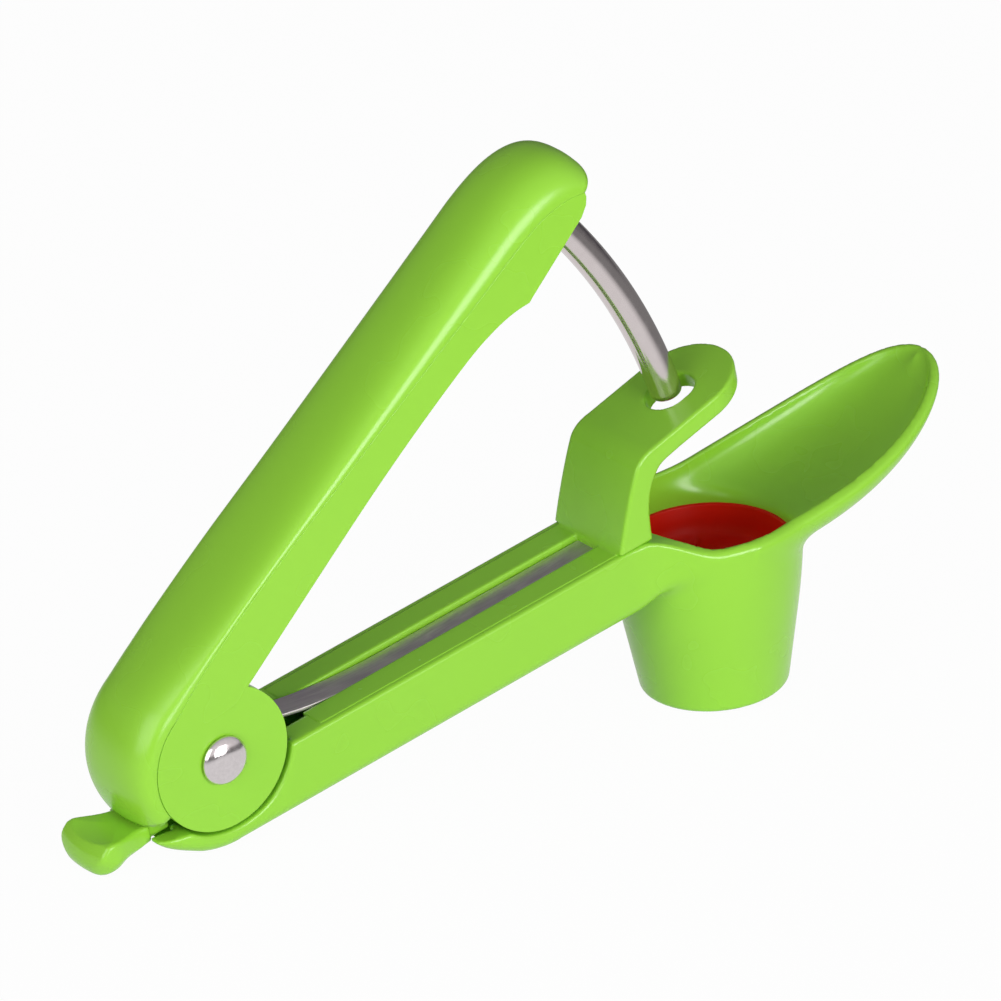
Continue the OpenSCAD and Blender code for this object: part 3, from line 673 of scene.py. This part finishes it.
def make_cover():
    """The handle's back: a superellipse section carried from the hub's rear end round the pin,
    along the seam and over the nose. Each section stands on the seam, at both sides, and reaches
    to the crown line of the back. A second sheet, a wall's thickness inside, closes it."""
    seam_line = np.vstack([arc(14.4, COVER_END, 91.5, 34), SEAM])
    u = np.linspace(0, NOSE_MID[0] - 2, 110)
    straight = np.stack([u, back_height(u)], -1)
    turn = np.linspace(0, np.pi / 2, 60)
    nose_high = back_height(NOSE_MID[0]) - NOSE_MID[1]
    nose = np.stack([NOSE_MID[0] + NOSE_LONG * np.sin(turn) ** (2 / BACK_POWER),
                     NOSE_MID[1] + nose_high * np.cos(turn) ** (2 / BACK_POWER)], -1)
    near = 8
    crown_far = even(np.vstack([straight[near:], nose[1:]]), len(SEAM) - near)
    crown_near = np.stack([SEAM[:near, 0], back_height(SEAM[:near, 0])], -1)
    crown_line = np.vstack([arc(REAR_R, COVER_END, 91.5, 34), crown_near, crown_far])
    rise = crown_line - seam_line
    height = np.linalg.norm(rise, axis=1)
    lift = rise / height[:, None]

    def sheet(inset, lip):
        """One sheet of the shell, its edges turned in by lip where they meet the panels."""
        across, up = side_section(61, BACK_POWER)
        tall = np.maximum(height - inset, 0.4)[:, None]
        half = ARM_HALF - inset
        rows = len(height)
        y = np.tile(across * half, (rows, 1))
        h = up * tall
        if lip:
            edge_y = np.array([half - lip, half - 0.3 * lip, half])
            edge_h = np.array([0.0, 0.3 * lip, lip])
            y = np.hstack([np.tile(-edge_y, (rows, 1)), y[:, 1:-1],
                           np.tile(edge_y[::-1], (rows, 1))])
            h = np.hstack([np.tile(edge_h, (rows, 1)), np.maximum(h[:, 1:-1], lip * 1.3),
                           np.tile(edge_h[::-1], (rows, 1))])
        base = seam_line + lift * 0.01
        point = base[:, None, :] + lift[:, None, :] * h[..., None]
        return np.stack([point[..., 0], y, point[..., 1]], -1)

    outer, inner = sheet(0, 0.1), sheet(2.0, 0)
    rows, a, b = outer.shape[0], outer.shape[1], inner.shape[1]
    ring = np.concatenate([outer, inner[:, ::-1]], 1)
    columns = a + b
    faces = [grid_faces(rows, columns, wrap_columns=True)]
    j = np.arange(a - 1)
    across_wall = a + (b - 1) - np.round(np.arange(a) * (b - 1) / (a - 1)).astype(int)
    for row in (0, rows - 1):
        first = row * columns
        quads = first + np.stack([j, j + 1, across_wall[j + 1], across_wall[j]], -1)
        faces.append(quads if row == 0 else quads[:, ::-1])
    points = from_handle(ring.reshape(-1, 3))
    make_piece("handle_back", points, np.vstack(faces), LIME, "handle", ["handle_cover"],
               weld=True)


def slab(outline, y0, y1, r):
    """Sheets of a flat piece between two planes across the arm: its outline is carried through y
    and drawn in by a quarter circle of radius r at both faces."""
    p = np.asarray(outline, float)
    tangent = np.roll(p, -1, 0) - np.roll(p, 1, 0)
    tangent /= np.linalg.norm(tangent, axis=1)[:, None]
    area = np.sum(p[:, 0] * np.roll(p[:, 1], -1) - np.roll(p[:, 0], -1) * p[:, 1])
    out = np.stack([tangent[:, 1], -tangent[:, 0]], -1) * np.sign(area)
    turn = np.linspace(0, np.pi / 2, 5)
    inset = np.concatenate([[r * 1.8], r * (1 - np.sin(turn))])
    along = np.concatenate([[0], r * (1 - np.cos(turn))])
    levels = [(i, y0 + s) for i, s in zip(inset, along)]
    levels += [(i, y1 - s) for i, s in zip(inset[::-1], along[::-1])]
    sheets = [np.stack([p[:, 0] - out[:, 0] * i, np.full(len(p), y), p[:, 1] - out[:, 1] * i], -1)
              for i, y in levels]
    return np.array(sheets)


def make_slab(name, outline, y0, y1, r, finish, stands_for=()):
    """A slab of the handle, drawn in the handle's datum, with one polygon for each face."""
    sheets = slab(outline, y0, y1, r)
    count, n = sheets.shape[:2]
    faces = grid_faces(count, n, wrap_columns=True).tolist()
    faces.append(list(range(n - 1, -1, -1)))
    faces.append(list(range((count - 1) * n, count * n)))
    points = from_handle(sheets.reshape(-1, 3))
    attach(make_mixed(name, points, faces, finish, stands_for), "handle")


def make_frame():
    """Side panels with their round ears, and the core and two bars that tie them together."""
    ear_rear = arc(EAR_R + 0.1, COVER_END, 92, 30)
    upper = SEAM[1:] - [0.0, 0.01]
    front = np.array([[122.2, 6.7], [121.0, 5.6], [118.8, 4.75]])
    chin = np.linspace((116, 4.5), (101.5, 3.25), 14)
    ear_low = arc(EAR_R, 20.6, COVER_END - 360 + 1.5, 110)
    outline = np.vstack([ear_rear, upper, front, chin, BELLY[::-1], ear_low])
    make_slab("side_panel_near", outline, -ARM_HALF, -ARM_HALF + PANEL, 0.1, LIME,
              ["handle_frame"])
    make_slab("side_panel_far", outline, ARM_HALF - PANEL, ARM_HALF, 0.1, LIME)
    core = np.vstack([[[15, 10.5]], np.linspace((22, 11), (92, 9.4), 12),
                      [[99, 4.6], [101.4, 3.7]], np.linspace((104, 3.9), (117.6, 5.2), 8),
                      [[120.6, 6.8], [123.6, 8.9], [122.5, 11.5], [112, 13.4]],
                      np.linspace((104, 13.2), (22, 15.2), 20), [[14, 13.5]]])
    # The core and the bars below take the darker lime plastic, which is painted shade.
    make_slab("handle_core", core, -8.2, 8.2, 0.3, LIME_SHADED_INNER)
    turn = np.radians(np.linspace(0, 360, 33)[:-1])
    for name, orbit, angle in (("spring_bar", 12.2, 3.0), ("catch_bar", 11.6, 250.0)):
        a = math.radians(angle) - OPEN_ANGLE
        ring = np.stack([orbit * math.cos(a) + 1.6 * np.cos(turn),
                         orbit * math.sin(a) + 1.6 * np.sin(turn)], -1)
        make_slab(name, ring, -8.0, 8.0, 0.2, LIME_SHADED_INNER)


# ---------------------------------------------------------------- steel pieces


def turned(profile, count):
    """A profile of radius and height turned about an axis: ring angle by profile point."""
    a = np.linspace(0, 2 * np.pi, count, endpoint=False)
    r, h = np.asarray(profile, float).T
    return np.stack([np.outer(np.cos(a), r), np.outer(np.sin(a), r),
                     np.tile(h, (count, 1))], -1)


def make_rod():
    """Plunger rod: a round section carried along an arc about the pin, its free end a low dome
    with a rounded edge."""
    count, sides = 170, 72
    end = OPEN_ANGLE + math.radians(3.2)
    dome = np.linspace(0, 1, 14)[:-1]
    tip_r = ROD_R * (1 - (1 - dome) ** 2.2)
    angle = np.concatenate([ROD_TIP + ROD_DOME * dome ** 2,
                            np.linspace(ROD_TIP + ROD_DOME, end, count)])
    radius = np.concatenate([tip_r, np.full(count, ROD_R)])
    angle, radius = np.append(angle, end), np.append(radius, 0.0)
    turn = np.linspace(0, 2 * np.pi, sides, endpoint=False)
    out = ROD_ARC + np.outer(radius, np.cos(turn))
    points = np.stack([out * np.cos(angle)[:, None], np.outer(radius, np.sin(turn)),
                       out * np.sin(angle)[:, None]], -1)
    faces = grid_faces(len(angle), sides, wrap_columns=True)
    make_piece("rod", points.reshape(-1, 3), faces, ROD_STEEL, "handle", ["plunger_rod"],
               weld=True)


def make_rivet():
    """Domed heads at both sides: a shallow dome with a rolled edge, and the shaft between."""
    t = np.linspace(0, 1, 40)
    dome = np.stack([HEAD_R * np.sin(t * np.pi / 2) ** 0.9,
                     HEAD_H * np.cos(t * np.pi / 2) ** 1.15], -1)
    under = np.array([[HEAD_R - 0.1, -0.14], [HEAD_R - 0.5, -0.3], [4.0, -0.5], [2.5, -0.5]])
    for side, name, node in ((-1, "rivet_head", "hinge_rivet"), (1, "rivet_far_head", "rivet_cap")):
        length = 22.4 if side < 0 else 1.3
        profile = np.vstack([dome, under, [[2.5, -length], [0, -length]]])
        ring = turned(profile, 96)
        face = side * (ARM_HALF + 0.55)
        points = np.stack([ring[..., 0], face + side * ring[..., 2], ring[..., 1]], -1)
        faces = grid_faces(96, len(profile), wrap_rows=True)
        make_piece(name, points.reshape(-1, 3), faces, HEAD_STEEL, "base", [node],
                   weld=True)


def make_strip():
    """Leaf spring: a flat section with softened corners carried along its bent line, from the
    clamp under the bracket to the bar between the ears."""
    level = -5.75
    bend = bezier((46.0, level), (23.0, level), (10.6, -0.55), 60)
    line = np.vstack([np.linspace((98.4, level), (46.4, level), 60), bend])
    tangent = np.gradient(line, axis=0)
    tangent /= np.linalg.norm(tangent, axis=1)[:, None]
    up = np.stack([tangent[:, 1], -tangent[:, 0]], -1)
    r, half, thick = 0.2, 3.05, 0.8
    turn = np.radians(np.linspace(0, 90, 5))
    corner = [(half - r, -r, 0), (-(half - r), -r, 90), (-(half - r), -(thick - r), 180),
              (half - r, -(thick - r), 270)]
    loop = np.vstack([np.stack([y + r * np.cos(turn + math.radians(a)),
                                h + r * np.sin(turn + math.radians(a))], -1)
                      for y, h, a in corner])
    rows, columns = len(line), len(loop)
    centre = line[:, None, :] + up[:, None, :] * loop[None, :, 1:2]
    points = np.stack([centre[..., 0], np.tile(loop[:, 0], (rows, 1)), centre[..., 1]], -1)
    ends = points[[0, -1]].mean(1)
    points = np.vstack([points.reshape(-1, 3), ends])
    faces = grid_faces(rows, columns, wrap_columns=True).tolist()
    n = rows * columns
    j = np.arange(columns)
    k = (j + 1) % columns
    fans = np.vstack([np.stack([j, k, np.full(columns, n)], -1),
                      np.stack([k + n - columns, j + n - columns, np.full(columns, n + 1)], -1)])
    strip = make_mixed("spring_strip", points, faces + fans.tolist(), STRIP_STEEL,
                       ["leaf_spring"])
    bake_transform(strip)


# ---------------------------------------------------------------- red seat


def make_seat():
    """Red seat: a profile turned about the cup's axis, dished towards a hole that the petals
    stand round. Between petals the floor sinks in narrow creases."""
    top = 29.4
    out_low, out_high = (FOOT_R - WALL - 0.15 + h * TAPER for h in (SHELF_H, top))
    shape = flow_line([(out_high - 1.3, top - 0.1), (out_high - 1.8, 27.4), (out_high - 2.4, 25.0),
                       (out_high - 3.6, 23.4), (9.4, 21.6), (6.6, 20.3), (5.2, 19.5)], 60)
    lip = bezier((out_high, top - 0.3), (out_high - 0.3, top + 0.1), (out_high - 1.2, top), 7)
    profile = np.vstack([lip, shape, [[5.2, 18.4], [5.2, 13.0], [6.7, 13.0], [6.7, 17.8],
                                      [out_low - 0.1, 18.06], [out_low, 18.3]],
                         np.linspace((out_low, 18.6), (out_high, top - 0.4), 12)])
    count, petals = 360, 6
    ring = turned(profile, count)
    angle = np.linspace(0, 2 * np.pi, count, endpoint=False)
    share = np.abs((angle * petals / (2 * np.pi) + 0.5) % 1 - 0.5)
    crease = np.exp(-(share / 0.05) ** 2)
    belly = np.cos(np.pi * np.minimum(0.5 - share, 0.5)) ** 2
    r = np.hypot(ring[..., 0], ring[..., 1])
    zone = smooth_step((out_high - 2.4 - r) / 3.5) * (ring[..., 2] > 18.9)
    ring[..., 2] += (0.9 * belly - 1.9 * crease)[:, None] * zone
    ring[..., 0] -= 3.1 * smooth_step((out_high - 2.6 - r) / 5.0)
    c, s = math.cos(CUP_LEAN), math.sin(CUP_LEAN)
    u, w = ring[..., 0], ring[..., 2] - CUP_DEPTH
    points = np.stack([REACH + u * c + w * s, ring[..., 1], -u * s + w * c], -1)
    faces = grid_faces(count, len(profile), wrap_rows=True, wrap_columns=True)
    make_piece("red_seat", points.reshape(-1, 3), faces, RED, "base", ["cup_insert"],
               weld=True)


# ---------------------------------------------------------------- stage, lights and camera


def combine(nodes, links, operation, first, second):
    """Math node on an output and either another output or a number."""
    node = nodes.new("ShaderNodeMath")
    node.operation = operation
    links.new(first, node.inputs[0])
    if isinstance(second, float):
        node.inputs[1].default_value = second
    else:
        links.new(second, node.inputs[1])
    return node.outputs["Value"]


def seen_rays(nodes, links, path):
    """1 for camera, glossy and transmission rays, 0 for the rays that carry soft light."""
    total = path.outputs["Is Camera Ray"]
    for kind in ("Is Glossy Ray", "Is Transmission Ray"):
        total = combine(nodes, links, "ADD", total, path.outputs[kind])
        total.node.use_clamp = True
    return total


def make_stage():
    """Pale floor that shows white to the camera and keeps the shadow. Reflections see a white
    sheet round the object that darkens away from it."""
    mesh = bpy.data.meshes.new("floor")
    far = 3.0
    mesh.from_pydata([(-far, -far, 0), (far, -far, 0), (far, far, 0), (-far, far, 0)], [],
                     [(0, 1, 2, 3)])
    floor = new_object("floor", mesh)
    material, nodes, links, shader = node_tree("floor_paper")
    shader.inputs["Base Color"].default_value = (0.86, 0.86, 0.86, 1)
    shader.inputs["Roughness"].default_value = 0.9
    path = nodes.new("ShaderNodeLightPath")
    coords = nodes.new("ShaderNodeTexCoord")
    away = nodes.new("ShaderNodeVectorMath")
    away.operation = "LENGTH"
    links.new(coords.outputs["Object"], away.inputs[0])
    fade = map_range(nodes, links, away.outputs["Value"], (0.14, 0.32), (0.82, 0.22))
    glow = nodes.new("ShaderNodeEmission")
    glow.inputs["Color"].default_value = (1, 1, 1, 1)
    links.new(combine(nodes, links, "MAXIMUM", fade.outputs["Result"],
                      path.outputs["Is Camera Ray"]), glow.inputs["Strength"])
    mix = nodes.new("ShaderNodeMixShader")
    links.new(combine(nodes, links, "MULTIPLY", seen_rays(nodes, links, path), 0.97),
              mix.inputs["Fac"])
    links.new(shader.outputs["BSDF"], mix.inputs[1])
    links.new(glow.outputs["Emission"], mix.inputs[2])
    links.new(mix.outputs["Shader"], nodes["Material Output"].inputs["Surface"])
    mesh.materials.append(material)


def make_world():
    """White to the camera. Soft light comes from a grey room. Metal sees the white backdrop at
    the near side, and a dark far wall with a dark skirting, as in the photograph's studio."""
    world = bpy.data.worlds.new("studio")
    bpy.context.scene.world = world
    world.use_nodes = True
    nodes, links = world.node_tree.nodes, world.node_tree.links
    room = nodes["Background"]
    coords = nodes.new("ShaderNodeTexCoord")
    split = nodes.new("ShaderNodeSeparateXYZ")
    links.new(coords.outputs["Generated"], split.inputs["Vector"])

    def bands(axis, stops):
        """Grey by direction along one axis, as (direction from -1 to 1, grey) stops."""
        scale = map_range(nodes, links, split.outputs[axis], (-1, 1), (0, 1))
        node = nodes.new("ShaderNodeValToRGB")
        marks = node.color_ramp.elements
        for mark, (place, grey) in zip(marks, (stops[0], stops[-1])):
            mark.position, mark.color = place * 0.5 + 0.5, (*grey, 1)
        for place, grey in stops[1:-1]:
            marks.new(place * 0.5 + 0.5).color = (*grey, 1)
        links.new(scale.outputs["Result"], node.inputs["Fac"])
        return node.outputs["Color"]

    links.new(bands("Z", [(-0.4, (0.34,) * 3), (0.1, (0.31,) * 3), (0.9, (0.23,) * 3)]),
              room.inputs["Color"])
    walls = bands("Y", [(-0.75, (0.80, 0.77, 0.77)), (-0.25, (0.62, 0.61, 0.62)),
                        (0.15, (0.27, 0.26, 0.29)), (0.7, (0.17, 0.16, 0.18))])
    skirting = bands("Z", [(0.0, (0.25,) * 3), (0.10, (0.3,) * 3), (0.22, (1.0,) * 3),
                           (1.0, (1.0,) * 3)])
    product = nodes.new("ShaderNodeMix")
    product.data_type = "RGBA"
    product.blend_type = "MULTIPLY"
    product.inputs["Factor"].default_value = 1.0
    links.new(walls, product.inputs["A"])
    links.new(skirting, product.inputs["B"])
    studio = nodes.new("ShaderNodeBackground")
    links.new(product.outputs["Result"], studio.inputs["Color"])
    white = nodes.new("ShaderNodeBackground")
    white.inputs["Color"].default_value = (1, 1, 1, 1)
    path = nodes.new("ShaderNodeLightPath")
    shiny, backdrop = nodes.new("ShaderNodeMixShader"), nodes.new("ShaderNodeMixShader")
    links.new(path.outputs["Is Glossy Ray"], shiny.inputs["Fac"])
    links.new(room.outputs["Background"], shiny.inputs[1])
    links.new(studio.outputs["Background"], shiny.inputs[2])
    links.new(path.outputs["Is Camera Ray"], backdrop.inputs["Fac"])
    links.new(shiny.outputs["Shader"], backdrop.inputs[1])
    links.new(white.outputs["Background"], backdrop.inputs[2])
    links.new(backdrop.outputs["Shader"], nodes["World Output"].inputs["Surface"])


def look_rotation(direction):
    """Rotation whose -Z looks along direction, with Y upwards."""
    back = -np.asarray(direction, float)
    back /= np.linalg.norm(back)
    right = np.cross((0, 0, 1), back)
    right /= np.linalg.norm(right)
    rise = np.cross(back, right)
    return np.stack([right, rise, back], 1)


def place_object(thing, place, rotation):
    """Puts a lamp or camera at a place, turned by a matrix."""
    matrix = np.eye(4)
    matrix[:3, :3] = rotation
    matrix[:3, 3] = place
    thing.matrix_world = Matrix(matrix.tolist())


def make_lamp(name, place, target, width, height, power):
    """Rectangular softbox that faces its target."""
    lamp = bpy.data.lights.new(name, "AREA")
    lamp.shape = "RECTANGLE"
    lamp.size, lamp.size_y, lamp.energy = width, height, power
    turn = look_rotation(np.asarray(target) - np.asarray(place, float))
    place_object(new_object(name, lamp), place, turn)


# The camera in the arm's datum, in millimetres, and its focal length in the photograph's pixels.
CAMERA_PLACE = (-548.9542, -1058.0012, 743.4789)
CAMERA_RIGHT = (0.785718, -0.590558, -0.184089)
CAMERA_UP = (0.438182, 0.321296, 0.839503)
FOCAL_PX = 7671.86
PHOTO_PX = 1001
SENSOR_MM = 36.0


def make_camera():
    """The photograph's camera, solved from the hinge, ear, rod, cup and arm."""
    camera = bpy.data.cameras.new("camera")
    camera.sensor_width = SENSOR_MM
    camera.lens = FOCAL_PX / PHOTO_PX * SENSOR_MM
    camera.clip_end = 20
    thing = new_object("camera", camera)
    right, up = turned_up((CAMERA_RIGHT, CAMERA_UP), TILT)
    right /= np.linalg.norm(right)
    up -= right * (right @ up)
    up /= np.linalg.norm(up)
    place_object(thing, to_row(CAMERA_PLACE), np.stack([right, up, np.cross(right, up)], 1))
    bpy.context.scene.camera = thing


def make_lights():
    """A softbox at the near side and a larger low one behind the hub."""
    aim = (0.0, 0.0, 0.05)
    make_lamp("near_box", (0.0, -1.05, 0.30), aim, 0.65, 0.5, 7.3)
    make_lamp("left_box", (-1.0, -0.30, 0.42), aim, 0.9, 0.8, 4.9)


bpy.context.scene.view_settings.view_transform = "Standard"
for make in (make_camera, make_world, make_stage, make_lights, make_arm, make_bracket, make_lock,
             make_cover, make_frame, make_rod, make_rivet, make_strip, make_seat):
    make()
for hidden_node in ("rod_pin", "bracket_screw"):
    materials = frame["nodes"][hidden_node].data.materials
    materials.clear()
    materials.append(STRIP_STEEL)
